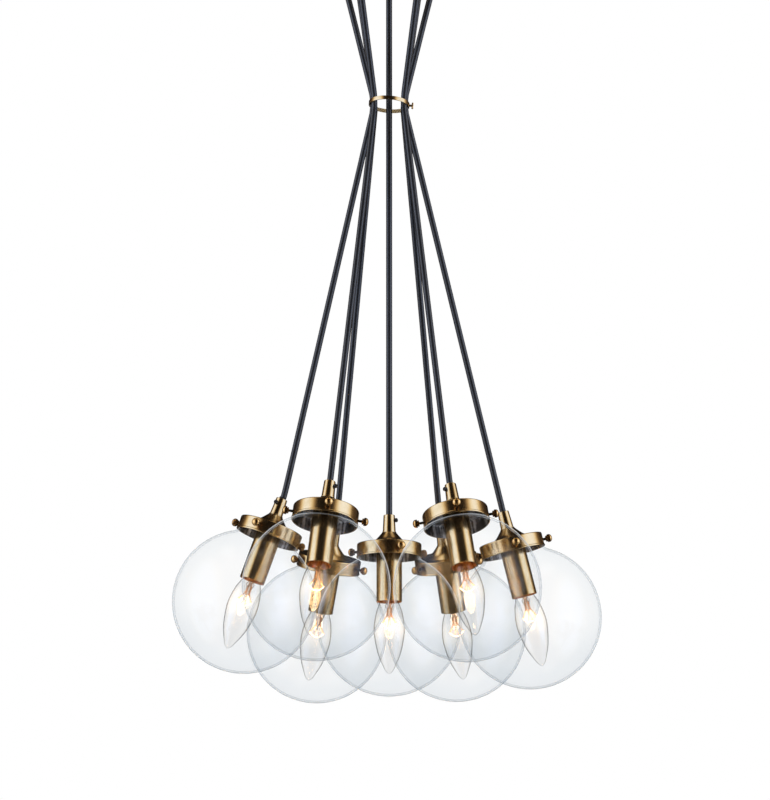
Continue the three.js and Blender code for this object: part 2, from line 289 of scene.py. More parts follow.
def tube(name, path, radius, sides=20):
    """A closed tube along a path of points in millimetres."""
    path = [Vector(p) for p in path]
    count = len(path)
    ways = []
    for index in range(count):
        way = path[min(index + 1, count - 1)] - path[max(index - 1, 0)]
        ways.append(way.normalized())
    side = ways[0].orthogonal().normalized()
    points, faces = [], []
    for spot, way in zip(path, ways):
        side = (side - way * side.dot(way)).normalized()
        other = way.cross(side)
        for step in range(sides):
            turn = 2 * math.pi * step / sides
            points.append(spot + side * (radius * math.cos(turn)) + other * (radius * math.sin(turn)))
    for index in range(count - 1):
        for step in range(sides):
            after = (step + 1) % sides
            low, high = index * sides, (index + 1) * sides
            faces.append((low + step, low + after, high + after, high + step))
    faces.append(tuple(reversed(range(sides))))
    faces.append(tuple(range((count - 1) * sides, count * sides)))
    return mesh_of(name, points, faces, 40)


def two_tone(mesh, first, second, chosen):
    """The first material, and the second on faces chosen by their middle, in millimetres, and normal."""
    mesh.materials.append(first)
    mesh.materials.append(second)
    for face in mesh.polygons:
        if chosen(face.center / MM, face.normal):
            face.material_index = 1
    return mesh


def joined(name, meshes, angle=35):
    """One mesh from several, kept as separate shells, each with its own material."""
    shell = bmesh.new()
    materials = []
    for mesh in meshes:
        first = len(shell.faces)
        shell.from_mesh(mesh)
        shell.faces.ensure_lookup_table()
        used = list(mesh.materials)
        for material in used:
            if material not in materials:
                materials.append(material)
        for face in shell.faces[first:]:
            if used:
                face.material_index = materials.index(used[min(face.material_index, len(used) - 1)])
    result = bpy.data.meshes.new(name)
    shell.to_mesh(result)
    shell.free()
    for material in materials:
        result.materials.append(material)
    result.shade_smooth()
    result.set_sharp_from_angle(angle=math.radians(angle))
    return result


# Materials
class Graph:
    """The node tree of one material or world, with a short method for each kind of node that it needs."""

    def __init__(self, tree, kind="Material"):
        self.nodes, self.links = tree.nodes, tree.links
        self.nodes.clear()
        self.surface = self.add("Output" + kind).inputs["Surface"]

    def put(self, socket, value):
        """Link a socket to an output, or give it a value."""
        if isinstance(value, bpy.types.NodeSocket):
            self.links.new(value, socket)
        else:
            socket.default_value = value

    def add(self, kind, settings=None, **sockets):
        """Add a node of the kind, with its settings first and then what goes into its sockets."""
        node = self.nodes.new("ShaderNode" + kind)
        for key, value in (settings or {}).items():
            setattr(node, key, value)
        for key, value in sockets.items():
            self.put(node.inputs[key.replace("_", " ")], value)
        return node

    def coordinates(self, kind):
        return self.add("TexCoord").outputs[kind]

    def noise(self, scale, stretch=(1, 1, 1), detail=4):
        mapping = self.add("Mapping", Vector=self.coordinates("Object"), Scale=stretch)
        return self.add("TexNoise", Vector=mapping.outputs[0], Scale=scale, Detail=detail).outputs["Fac"]

    def ranged(self, source, low, high):
        return self.add("MapRange", Value=source, To_Min=low, To_Max=high).outputs[0]

    def smooth(self, source, start, end, low, high):
        """Low up to the start and high from the end, with an eased step between them."""
        node = self.add(
            "MapRange",
            {"interpolation_type": "SMOOTHSTEP"},
            Value=source,
            From_Min=start,
            From_Max=end,
            To_Min=low,
            To_Max=high,
        )
        return node.outputs[0]

    def ramp(self, source, stops):
        node = self.add("ValToRGB", Fac=source)
        elements = node.color_ramp.elements
        for element, (position, colour) in zip(elements, (stops[0], stops[-1])):
            element.position, element.color = position, (*colour, 1)
        for position, colour in stops[1:-1]:
            elements.new(position).color = (*colour, 1)
        return node.outputs[0]

    def maths(self, operation, *values):
        node = self.add("Math", {"operation": operation})
        for socket, value in zip(node.inputs, values):
            self.put(socket, value)
        return node.outputs[0]

    def vector(self, operation, result, *values):
        node = self.add("VectorMath", {"operation": operation})
        for socket, value in zip(node.inputs, values):
            self.put(socket, value)
        return node.outputs[result]

    def tinted(self, blend, share, below, colour):
        node = self.add("Mix", {"data_type": "RGBA", "blend_type": blend})
        self.put(node.inputs["A"], below)
        self.put(node.inputs["B"], (*colour, 1))
        self.put(node.inputs["Factor"], share)
        return node.outputs["Result"]

    def bump(self, shader, height, strength, distance):
        node = self.add("Bump", Strength=strength, Distance=distance, Height=height)
        self.put(shader.inputs["Normal"], node.outputs[0])

    def mixed(self, share, first, second):
        node = self.add("MixShader", Fac=share)
        self.put(node.inputs[1], first.outputs[0])
        self.put(node.inputs[2], second.outputs[0])
        return node

    def unmirrored(self):
        """1 for what is seen straight on or through glass, 0 for what metal or glass mirrors."""
        rays = self.add("LightPath").outputs
        seen = self.maths("MAXIMUM", rays["Is Camera Ray"], rays["Is Transmission Ray"])
        return self.maths("GREATER_THAN", seen, rays["Glossy Depth"])

    def finish(self, shader):
        self.put(self.surface, shader.outputs[0])


def new_material(name):
    material = bpy.data.materials.new(name)
    material.use_nodes = True
    return material, Graph(material.node_tree)


def brushed_metal(name, light, dark, rough):
    """Metal with fine brush lines round its axis, cloudy lacquer and slightly uneven gloss."""
    material, graph = new_material(name)
    lines = graph.noise(1.0, BRUSH_STRETCH, 3)
    clouds = graph.noise(90.0)
    shader = graph.add(
        "BsdfPrincipled",
        Base_Color=graph.ramp(clouds, [(0.3, dark), (0.7, light)]),
        Metallic=1.0,
        Roughness=graph.ranged(lines, rough - 0.05, rough + 0.06),
        Coat_Weight=0.5,
        Coat_Roughness=0.14,
    )
    graph.bump(shader, lines, 0.07, 0.00006)
    graph.finish(shader)
    return material


def radial_painted_reflection_metal(name, light, dark, rough):
    """Spun plate whose colour has light and dark streaks that run out from its middle, as painted
    reflection.
    The streaks also vary its roughness and bump it.
    """
    material, graph = new_material(name)
    flat = graph.vector("MULTIPLY", "Vector", graph.coordinates("Object"), (1, 1, 0))
    unit = graph.vector("NORMALIZE", "Vector", flat)
    streaks = graph.add("TexNoise", Vector=unit, Scale=7.0, Detail=6.0, Roughness=0.7).outputs["Fac"]
    # Streaks times clouds: the colour's painted reflection
    both = graph.maths("MULTIPLY", streaks, graph.noise(70.0, detail=5))
    middle = tuple(c * 1.4 for c in dark)
    shader = graph.add(
        "BsdfPrincipled",
        Base_Color=graph.ramp(both, [(0.17, dark), (0.26, middle), (0.34, light)]),
        Metallic=0.7,
        Roughness=graph.ranged(streaks, rough - 0.12, rough + 0.14),
    )
    graph.bump(shader, streaks, 0.3, 0.0004)
    graph.finish(shader)
    return material


def cord_material():
    material, graph = new_material("cord_jacket")
    grain = graph.noise(1800.0, (1, 1, 0.12), 3)
    clouds = graph.noise(60.0, (1, 1, 0.3), 3)
    shader = graph.add(
        "BsdfPrincipled",
        Base_Color=graph.ramp(clouds, [(0.3, (0.008, 0.0095, 0.013)), (0.7, (0.013, 0.0155, 0.021))]),
        Roughness=graph.ranged(grain, 0.24, 0.36),
        Specular_IOR_Level=0.8,
        Specular_Tint=(0.94, 0.97, 1.0, 1),
    )
    graph.bump(shader, grain, 0.15, 0.0001)
    graph.finish(shader)
    return material


def plain_material(name, light, dark, rough, metallic=0.0, scale=400.0):
    material, graph = new_material(name)
    grain = graph.noise(scale)
    shader = graph.add(
        "BsdfPrincipled",
        Base_Color=graph.ramp(grain, [(0.3, dark), (0.7, light)]),
        Metallic=metallic,
        Roughness=graph.ranged(grain, rough * 0.85, min(1.0, rough * 1.15)),
    )
    graph.bump(shader, grain, 0.2, 0.00005)
    graph.finish(shader)
    return material


def clear_glass(
    name,
    *,
    tints,
    edge,
    edge_span,
    gloss_ior,
    mirror_edge,
    painted_edge_highlight,
    painted_edge_highlight_span,
    bent=True,
    side=None,
    low=None,
    glow=None,
):
    """Thin clear glass with faint clouds between two tints.

    It passes what is behind it and mirrors more where it is seen edge on. Towards the edge it takes on a
    further tint and a pale painted highlight, each over its own span, where 0 is seen straight on and 1
    edge on. Side and low are two more tints, painted shade towards the outline and towards the lowest
    point. A glow is the place of something bright behind the glass, the distances between which it fades,
    its colour and its strength.
    """
    material, graph = new_material(name)
    facing = graph.add("LayerWeight", Blend=0.5).outputs["Facing"]
    waves = graph.noise(24.0, (1, 1, 0.45), 2)
    clouds = graph.ramp(waves, [(0.36, tints[0]), (0.6, tints[1])])
    tint = graph.tinted("MIX", graph.smooth(facing, *edge_span, 0.0, 1.0), clouds, edge)
    # Painted shade: darker towards the outline
    if side:
        tint = graph.tinted("MULTIPLY", graph.smooth(facing, *PAINTED_SIDE_SHADE_SPAN, 0.0, 1.0), tint, side)
    # Painted shade: darker towards the lowest point
    if low:
        height = graph.add("SeparateXYZ", Vector=graph.coordinates("Generated")).outputs["Z"]
        tint = graph.tinted("MULTIPLY", graph.smooth(height, *PAINTED_LOW_SHADE_SPAN, 1.0, 0.0), tint, low)
    if bent:
        clear = graph.add("BsdfRefraction", Color=tint, IOR=1.0, Roughness=0.0)
    else:
        clear = graph.add("BsdfTransparent", Color=tint)
    mirror = graph.add("BsdfGlossy", Color=(1, 1, 1, 1), Roughness=0.03)
    graph.bump(mirror, waves, 0.2, 0.001)
    straight_on = ((gloss_ior - 1) / (gloss_ior + 1)) ** 2
    steep = graph.maths("POWER", facing, MIRROR_POWER)
    mirror_share = graph.maths("MULTIPLY_ADD", steep, mirror_edge, straight_on)
    # Pale diffuse where the glass is seen edge on: painted highlight
    pale = graph.add("BsdfDiffuse", Color=(*PAINTED_EDGE_HIGHLIGHT_COLOUR, 1))
    glass = graph.mixed(mirror_share, clear, mirror)
    glass = graph.mixed(graph.smooth(facing, *painted_edge_highlight_span, 0.0, painted_edge_highlight), glass, pale)
    if glow:
        spot, near, far, light, strength = glow
        away = graph.vector("DISTANCE", "Value", graph.coordinates("Object"), spot)
        fade = graph.smooth(away, near, far, strength, 0.0)
        halo = graph.add("Emission", Color=(*light, 1), Strength=fade)
        whole = graph.add("AddShader")
        graph.put(whole.inputs[0], glass.outputs[0])
        graph.put(whole.inputs[1], halo.outputs[0])
        glass = whole
    graph.finish(glass)
    return material


def glowing(name, colour, strength):
    material, graph = new_material(name)
    dimmer = tuple(c * 0.85 for c in colour)
    shades = graph.ramp(graph.noise(900.0, detail=2), [(0.2, dimmer), (0.8, colour)])
    shader = graph.add(
        "BsdfPrincipled",
        Base_Color=shades,
        Roughness=0.5,
        Emission_Color=shades,
        Emission_Strength=strength,
    )
    graph.finish(shader)
    return material


make_camera()

BRASS_LIGHT = (0.74, 0.57, 0.32)
BRASS_DARK = (0.64, 0.47, 0.23)
brass = brushed_metal("brass_brushed", BRASS_LIGHT, BRASS_DARK, 0.19)
# Inside of the cap: dark grey metal as painted shade, with streaks of painted reflection
cap_inside_painted_shade = radial_painted_reflection_metal("cap_inside_painted_shade", (0.7, 0.7, 0.7), (0.1, 0.1, 0.1), 0.3)
# Inside of the socket's mouth: darker and redder than the outer brass
socket_mouth_darker = plain_material("socket_mouth_darker", (0.56, 0.27, 0.1), (0.24, 0.1, 0.035), 0.3, 0.8, 300.0)
brass_screw = plain_material("brass_polished", (0.94, 0.64, 0.28), (0.76, 0.46, 0.17), 0.22, 1.0)
# The knobs' ribbed band: a darker copy of the brass, as painted shade among the ribs
brass_ribbed_painted_shade = plain_material("brass_ribbed_painted_shade", (0.38, 0.22, 0.09), (0.14, 0.075, 0.028), 0.17, 1.0)
# Inside of the ring: a brighter, almost matt copy of the brass, as painted light
ring_inside_painted_light = plain_material("ring_inside_painted_light", (1.0, 0.78, 0.42), (0.86, 0.62, 0.28), 0.34, 0.1)
dark_steel = plain_material("screw_shank", (0.1, 0.085, 0.07), (0.05, 0.043, 0.037), 0.35, 1.0)
black_screw = plain_material("set_screw_black", (0.01, 0.01, 0.012), (0.005, 0.005, 0.006), 0.4)
zinc = plain_material("zinc_plate", (0.62, 0.63, 0.66), (0.45, 0.47, 0.5), 0.35, 1.0, 60.0)
phenolic = plain_material("lampholder_black", (0.035, 0.032, 0.03), (0.02, 0.018, 0.017), 0.45)
nickel = plain_material("lamp_base_nickel", (0.75, 0.68, 0.55), (0.6, 0.52, 0.4), 0.25, 1.0)
wire = plain_material("lamp_wire", (0.5, 0.27, 0.1), (0.3, 0.14, 0.05), 0.3, 0.8)
cord_black = cord_material()

# The filament's glow in the lamp's glass: middle, where it starts to fade and has faded, colour, strength
FILAMENT_GLOW = ((0, 0, (SOCKET_END - 26) * MM), 0.0145, 0.023, (1.0, 0.76, 0.48), 0.11)
globe_outside = clear_glass(
    "globe_glass_outside",
    tints=((0.99, 0.992, 0.993), (1.0, 1.0, 1.0)),
    edge=(0.86, 0.89, 0.91),
    edge_span=(0.72, 0.9),
    gloss_ior=1.33,
    mirror_edge=0.03,
    painted_edge_highlight=0.5,
    painted_edge_highlight_span=(0.76, 0.93),
    bent=False,
    # Side and low tints: painted shade
    side=(0.979, 0.987, 0.992),
    low=(0.964, 0.97, 0.976),
)
globe_inside = clear_glass(
    "globe_glass_inside",
    tints=((0.995, 0.996, 0.997), (1.0, 1.0, 1.0)),
    edge=(0.9, 0.92, 0.94),
    edge_span=(0.8, 0.95),
    gloss_ior=1.1,
    mirror_edge=0.06,
    painted_edge_highlight=0.35,
    painted_edge_highlight_span=(0.84, 0.97),
)
lamp_clear = clear_glass(
    "lamp_glass",
    tints=((0.965, 0.962, 0.955), (0.995, 0.993, 0.99)),
    edge=(0.16, 0.16, 0.17),
    edge_span=(0.55, 1.0),
    gloss_ior=1.6,
    mirror_edge=0.5,
    painted_edge_highlight=0.12,
    painted_edge_highlight_span=(0.9, 1.0),
    glow=FILAMENT_GLOW,
)
stem_clear = clear_glass(
    "stem_glass",
    tints=((0.88, 0.85, 0.8), (0.95, 0.93, 0.9)),
    edge=(0.3, 0.27, 0.24),
    edge_span=(0.5, 1.0),
    gloss_ior=1.6,
    mirror_edge=0.6,
    painted_edge_highlight=0.1,
    painted_edge_highlight_span=(0.85, 1.0),
)
filament_hot = glowing("filament_hot", (1.0, 0.68, 0.34), 5.0)


# Cords, the same route as the solids
def polar(radius, angle, height):
    turn = math.radians(angle)
    return Vector((radius * math.cos(turn), radius * math.sin(turn), height))


def head_place(name):
    """Neck top in millimetres and the direction down the head, from its lamp's joint."""
    joint = joints["lamp_turn_" + name]
    down = Vector(joint["axis"]).normalized()
    return (Vector(joint["pos_m"]) / MM) - down * LAMP_JOINT_DEPTH, down


BUNCH = math.degrees(2 * math.asin((CORD_RADIUS + CORD_GAP / 2) / WAIST_RADIUS))


def cord_parts(name):
    """Route from the grip to the ring and from there to the neck. The centre cord has one route for both."""
    side, step, _, _ = SIDES[name]
    neck, down = head_place(name)
    end = neck - down * SEAT_GAP
    approach = neck - down * CORD_APPROACH
    if name == "centre":
        top = Vector((0, 0, GRIP_Z - SEAT_GAP))
        return [top.lerp(end, i / 24) for i in range(25)], None
    top = polar(GRIP_CIRCLE, side + step * GRIP_SPREAD, GRIP_Z - SEAT_GAP)
    leave = top - Vector((0, 0, CORD_LEAVE))
    waist = polar(WAIST_RADIUS, side + step * BUNCH, RING_Z)
    up = (leave - waist).normalized() * BEND_REACH
    low = (approach - waist).normalized() * BEND_REACH
    corner = waist - (up + low) * 0.25
    bend = []
    for index in range(7):
        t = index / 6
        bend.append((corner + up) * (1 - t) ** 2 + corner * 2 * t * (1 - t) + (corner + low) * t * t)
    upper = [top, leave] + [leave.lerp(bend[0], s) for s in (0.35, 0.7)] + bend[:4]
    lower = bend[3:] + [bend[-1].lerp(approach, s) for s in (0.25, 0.5, 0.75)] + [approach, end]
    return smooth_line(upper, 32), smooth_line(lower, 60)


def lay_cord(title, path, node):
    """A cord along the path, as a fixed tube that takes the place of the cord's solid."""
    piece = link(title, tube(title, path, CORD_RADIUS, 24), cord_black)
    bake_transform(piece)
    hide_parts(node)


for name in DROPS:
    upper, lower = cord_parts(name)
    node = "cord_" + name
    title = "cord_upper_" + name if lower else "cord_line_centre"
    lay_cord(title, upper, node)
    if lower:
        lay_cord("cord_lower_" + name, lower, node)


# Heads
def holder_mesh():
    """Neck, flared cone and cap in one, with the inside of the cap in a darker grey that is painted shade.
    """
    foot = NECK_LENGTH + COLLAR_HEIGHT
    flare = CONE_RADIUS - COLLAR_RADIUS
    rise = CONE_LENGTH - COLLAR_HEIGHT
    knots = [(COLLAR_RADIUS, -foot)]
    for wide, deep in CONE_CURVE:
        knots.append((COLLAR_RADIUS + flare * wide, -foot - rise * deep))
    knots.append((CONE_RADIUS, CAP_TOP))
    outside = [
        (0, 0),
        (NECK_TOP_RADIUS - 1.1, 0, 0),
        (NECK_TOP_RADIUS, 0, 0.8),
        (NECK_FOOT_RADIUS, -NECK_LENGTH + 0.2, 0.2),
        (COLLAR_RADIUS, -NECK_LENGTH, 0.25),
        (COLLAR_RADIUS, -foot),
    ]
    lower = [
        (CONE_RADIUS, CAP_TOP),
        (CAP_RADIUS - 0.5, CAP_TOP, 1.4),
        (CAP_RADIUS - 0.5, CAP_RIM + 2.0, 0.3),
        (CAP_RADIUS, CAP_RIM + 1.5, 0.4),
        (CAP_RADIUS, CAP_RIM, 0.6),
        (CAP_RADIUS - CAP_WALL, CAP_RIM, 0.3),
        (CAP_RADIUS - CAP_WALL, CAP_INSIDE, 1.0),
        (0, CAP_INSIDE),
    ]
    cone = [tuple(p) for p in smooth_line(knots, 14)]
    mesh = lathe("holder", rounded(outside, 5) + cone[1:] + rounded(lower, 6)[1:], 120)
    inner = CAP_RADIUS - CAP_WALL + 0.05

    # Faces inside the cap, which take the painted shade
    def in_cap(centre, normal):
        return centre.z < CAP_INSIDE + 0.1 and centre.xy.length < inner and normal.z <= 0.2

    return two_tone(mesh, brass, cap_inside_painted_shade, in_cap)


def drill(mesh, angles):
    """Three round holes through the cap's side."""
    body = link("holder_blank", mesh)
    cutters = []
    for angle in angles:
        hole = tube("hole", [(HOLE_START, 0, THUMB_Z), (HOLE_END, 0, THUMB_Z)], HOLE_RADIUS)
        hole.transform(Matrix.Rotation(math.radians(angle), 4, "Z"))
        cutters.append(hole)
    cutter = link("cutter", joined("cutter", cutters))
    modifier = body.modifiers.new("holes", "BOOLEAN")
    modifier.operation = "DIFFERENCE"
    modifier.solver = "EXACT"
    modifier.object = cutter
    graph = bpy.context.evaluated_depsgraph_get()
    result = bpy.data.meshes.new_from_object(body.evaluated_get(graph))
    bpy.data.objects.remove(body)
    bpy.data.objects.remove(cutter)
    result.shade_smooth()
    result.set_sharp_from_angle(angle=math.radians(35))
    return result


def set_screw_mesh():
    """Round-headed black screw with a recess in its end, along +X from the neck."""
    end, radius = SET_SCREW_END, SET_SCREW_RADIUS
    profile = rounded(
        [
            (0, end - 4.6),
            (1.7, end - 4.6, 0.3),
            (1.7, end - 3.0, 0.2),
            (radius, end - 2.6, 0.4),
            (radius, end - 0.9, 0.9),
            (1.05, end, 0.15),
            (0.95, end - 1.1),
            (0, end - 1.1),
        ],
        4,
    )
    body = lathe("set_screw", profile, 40)
    body.transform(Matrix.Rotation(math.radians(90), 4, "Y"))
    body.materials.append(black_screw)
    return body


def thumb_screw_mesh():
    """Threaded shank with a ribbed knob that ends in a smooth dome, along +X from the glass.
    The ribbed band is a darker copy of the brass, as painted shade.
    """
    tip, knob, wide = THUMB_TIP, THUMB_KNOB, THUMB_KNOB_RADIUS
    end = knob + THUMB_KNOB_LENGTH

    def ribs(radius, height, turn):
        if knob + 1.9 < height < end - KNOB_DOME and radius > wide - 0.6:
            return radius + KNOB_RIB_DEPTH * (math.cos(KNOB_RIBS * turn) - 1)
        return radius

    thread = [(0, tip), (1.1, tip)]
    for step in range(THUMB_THREAD_TURNS):
        height = tip + 0.4 + step * THUMB_THREAD_PITCH
        thread += [(1.5, height), (1.26, height + THUMB_THREAD_PITCH / 2)]
    outline = [
        (0, knob - 0.2),
        (1.5, knob - 0.2),
        (1.6, knob),
        (3.1, knob + 0.1, 0.3),
        (3.3, knob + 1.1, 0.3),
        (2.7, knob + 1.5, 0.2),
        (2.8, knob + 1.7, 0.1),
        (wide, knob + 1.95, 0.4),
        (wide, knob + 2.2),
        (wide, knob + 2.8),
        (wide, end - 3.1),
    ]
    dome = []
    for step in range(9):
        turn = step * math.pi / 18
        dome.append((wide * math.cos(turn), end - KNOB_DOME * (1 - math.sin(turn))))
    shank = lathe("shank", thread + [(1.45, knob), (0, knob)], 20, angle=60)
    shank.materials.append(dark_steel)
    head = lathe("knob", rounded(outline, 5) + dome + [(0, end)], 96, shape=ribs, angle=50)
    two_tone(head, brass_screw, brass_ribbed_painted_shade, lambda centre, normal: knob - 0.3 < centre.z < end - 2.7)
    mesh = joined("thumb_screw", [shank, head], 50)
    mesh.transform(Matrix.Rotation(math.radians(90), 4, "Y"))
    mesh.transform(Matrix.Translation((0, 0, THUMB_Z * MM)))
    return mesh


def socket_mesh():
    """Cover round the lampholder, solid above its mouth."""
    radius, inner = SOCKET_RADIUS, SOCKET_RADIUS - SOCKET_WALL
    profile = rounded(
        [
            (0, SOCKET_MOUTH + 0.4),
            (inner, SOCKET_MOUTH + 0.4, 0.3),
            (inner, SOCKET_END, 0.35),
            (radius, SOCKET_END, 0.35),
            (radius, SOCKET_TOP, 0.9),
            (0, SOCKET_TOP),
        ],
        5,
    )

    def in_mouth(centre, normal):
        return centre.z < SOCKET_MOUTH + 1 and centre.xy.length < inner + 0.05

    return two_tone(lathe("socket", profile, 96), brass, socket_mouth_darker, in_mouth)


def lampholder_mesh():
    """The inner part of the socket: a moulded body and its threaded sleeve round the lamp's base."""
    low = SOCKET_MOUTH
    hole, wide = 7.0, 11.9
    start = (hole, low + 0.3)
    outline = [start, (hole, low - 0.6, 0.3), (wide, low - 0.6, 0.6), (wide, low + 0.3)]
    body = lathe("lampholder", rounded(outline, 4) + [start], 64)
    body.materials.append(phenolic)
    ridges = []
    for step in range(15):
        ridges.append((6.75 + 0.2 * math.cos(step * math.pi), low - 0.2 - step * 0.42))
    inner = [(radius - 0.35, height) for radius, height in reversed(ridges)]
    sleeve = lathe("sleeve", ridges + inner, 48, closed=True, angle=60)
    sleeve.materials.append(nickel)
    return joined("lampholder", [body, sleeve])


# The lamp's outline below the socket, as shares of its radius and its length
LAMP_SHARES = [(0.6, 0), (0.86, 0.15), (1, 0.34), (0.96, 0.5), (0.72, 0.73), (0.31, 0.93), (0, 1)]


def lamp_mesh():
    """Clear envelope of the lamp, from its base to the pointed tip."""
    knots = [(wide * LAMP_RADIUS, SOCKET_END - along * LAMP_LENGTH) for wide, along in LAMP_SHARES]
    knots = [(6.3, SOCKET_MOUTH - 2.0), (7.3, SOCKET_END + 6.5)] + knots
    line = smooth_line(knots[:-1], 56)
    tip = smooth_line([knots[-3], knots[-2], (1.2, SOCKET_END - 0.988 * LAMP_LENGTH), knots[-1]], 18)
    profile = [(0, SOCKET_MOUTH - 2.0)] + [tuple(p) for p in line] + [tuple(p) for p in tip[7:-1]]
    profile.append((0, knots[-1][1]))
    heights = []
    for radius, height in profile:
        if not heights or height < heights[-1][1] - 1e-4 or len(heights) < 2:
            heights.append((max(radius, 0), height))
    mesh = lathe("lamp", heights, 64, angle=60)
    mesh.materials.append(lamp_clear)
    return mesh


def lamp_base_mesh():
    """Screw base of the lamp, inside the socket."""
    top = SOCKET_MOUTH + LAMP_BASE_LENGTH - SEAT_GAP
    rows = [(0, top), (2.4, top), (2.6, top - 1.0), (4.6, top - 1.6)]
    for step in range(13):
        height = top - 2.2 - step * 1.02
        rows.append((5.85 if step % 2 else 5.45, height))
    rows += [(5.7, SOCKET_MOUTH - 0.6), (6.2, SOCKET_MOUTH - 2.4), (0, SOCKET_MOUTH - 2.4)]
    mesh = lathe("lamp_base", rows, 48, angle=70)
    mesh.materials.append(nickel)
    return mesh


def filament_parts():
    """Stem, wires and glowing arc inside the lamp, down to its widest place."""
    base = SOCKET_MOUTH - 3.0
    low = SOCKET_END - 5.0
    hot = SOCKET_END - 22.5
    stem_line = [
        (0, base),
        (3.6, base - 0.2),
        (2.6, base - 6),
        (2.3, low),
        (3.3, low - 2.6),
        (2.4, low - 5.2),
        (1.2, low - 7.0),
        (1.9, low - 9.4),
        (1.1, low - 11.6),
        (0, low - 12.2),
    ]
    stem = lathe("stem", [tuple(p) for p in smooth_line(stem_line, 45)], 24, angle=60)
    stem.materials.append(stem_clear)
    meshes = [stem]
    reach, sag = 7.6, 5.2

    def strand(name, path, radius, sides, material):
        mesh = tube(name, path, radius, sides)
        mesh.materials.append(material)
        meshes.append(mesh)

    for side in (-1, 1):
        lead_knots = [
            (side * 1.0, 0, base - 8),
            (side * 1.5, 0, low - 4),
            (side * 2.6, 0, low - 9),
            (side * 5.6, 0, hot + 2.4),
            (side * reach, 0, hot),
        ]
        strand("lead", smooth_line(lead_knots, 20), 0.42, 8, wire)
        post_knots = [
            (0, side * 0.7, low - 11),
            (side * 0.5, side * 1.6, low - 14),
            (side * 2.4, 0.4, hot - sag * 0.9),
        ]
        strand("post", smooth_line(post_knots, 8), 0.22, 6, wire)
        coil_path = []
        for step in range(61):
            turn = 2 * math.pi * step / 10
            height = low - 1.0 - step * 0.16
            coil_path.append((side * 1.7 + 1.2 * math.cos(turn), 1.2 * math.sin(turn), height))
        strand("coil", coil_path, 0.28, 6, wire)
        loop_path = []
        for step in range(25):
            turn = 2 * math.pi * step / 24
            across = side * 1.9 + 2.0 * math.cos(turn)
            loop_path.append((across, side * 0.4, low + 0.4 + 2.4 * math.sin(turn)))
        strand("loop", loop_path, 0.34, 6, nickel)
    arc = []
    for step in range(-40, 41):
        across = reach * step / 40
        height = hot - sag * (1 - (across / reach) ** 2) + 0.12 * math.cos(step * 1.9)
        arc.append((across, 0.3 * math.sin(step * 1.9), height))
    strand("filament", arc, 0.42, 8, filament_hot)
    return joined("filament", meshes, 60)


def globe_mesh():
    """Sphere with a short neck: outer wall, lip and inner wall."""
    centre_r = GLASS_NECK + GLASS_SHOULDER
    centre_z = GLOBE_Z + math.sqrt((GLOBE_RADIUS + GLASS_SHOULDER) ** 2 - centre_r**2)
    join = math.atan2(centre_r, centre_z - GLOBE_Z)
    top = CAP_INSIDE - SEAT_GAP

    def wall(radius, bend):
        """One face of the glass, from its lowest point up its side and shoulder to the neck."""
        line = []
        steps = 58
        for step in range(steps + 1):
            turn = math.pi - (math.pi - join) * step / steps
            line.append((radius * math.sin(turn) if step else 0, GLOBE_Z + radius * math.cos(turn)))
        steps = 12
        for step in range(1, steps + 1):
            turn = math.pi + join + (math.pi / 2 - join) * step / steps
            line.append((centre_r + bend * math.sin(turn), centre_z + bend * math.cos(turn)))
        return line

    outer = wall(GLOBE_RADIUS, GLASS_SHOULDER)
    inner = wall(GLOBE_RADIUS - GLASS_WALL, GLASS_SHOULDER + GLASS_WALL)
    lip = [
        (GLASS_NECK, top - 0.7),
        (GLASS_NECK - 0.6, top),
        (GLASS_NECK - GLASS_WALL + 0.6, top),
        (GLASS_NECK - GLASS_WALL, top - 0.7),
    ]
    sides = 128
    mesh = lathe("globe", outer + lip + inner[::-1], sides, angle=50)
    mesh.materials.append(globe_outside)
    mesh.materials.append(globe_inside)
    outside_faces = (len(outer) + 1) * sides
    for face in mesh.polygons:
        face.material_index = 0 if face.index < outside_faces else 1
    return mesh


set_screw = set_screw_mesh()
thumb_screw = thumb_screw_mesh()
socket = socket_mesh()
lampholder = lampholder_mesh()
lamp = lamp_mesh()
lamp_base = lamp_base_mesh()
filament = filament_parts()
globe = globe_mesh()


def head_matrix(name):
    neck, down = head_place(name)
    turn = Vector((0, 0, -1)).rotation_difference(down).to_matrix().to_4x4()
    return Matrix.Translation(neck * MM) @ turn


def place(name, mesh, matrix, body, *nodes, slot=None):
    piece = link(name, mesh)
    piece.matrix_world = matrix
    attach(piece, body)
    if nodes:
        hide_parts(*nodes)
    return piece


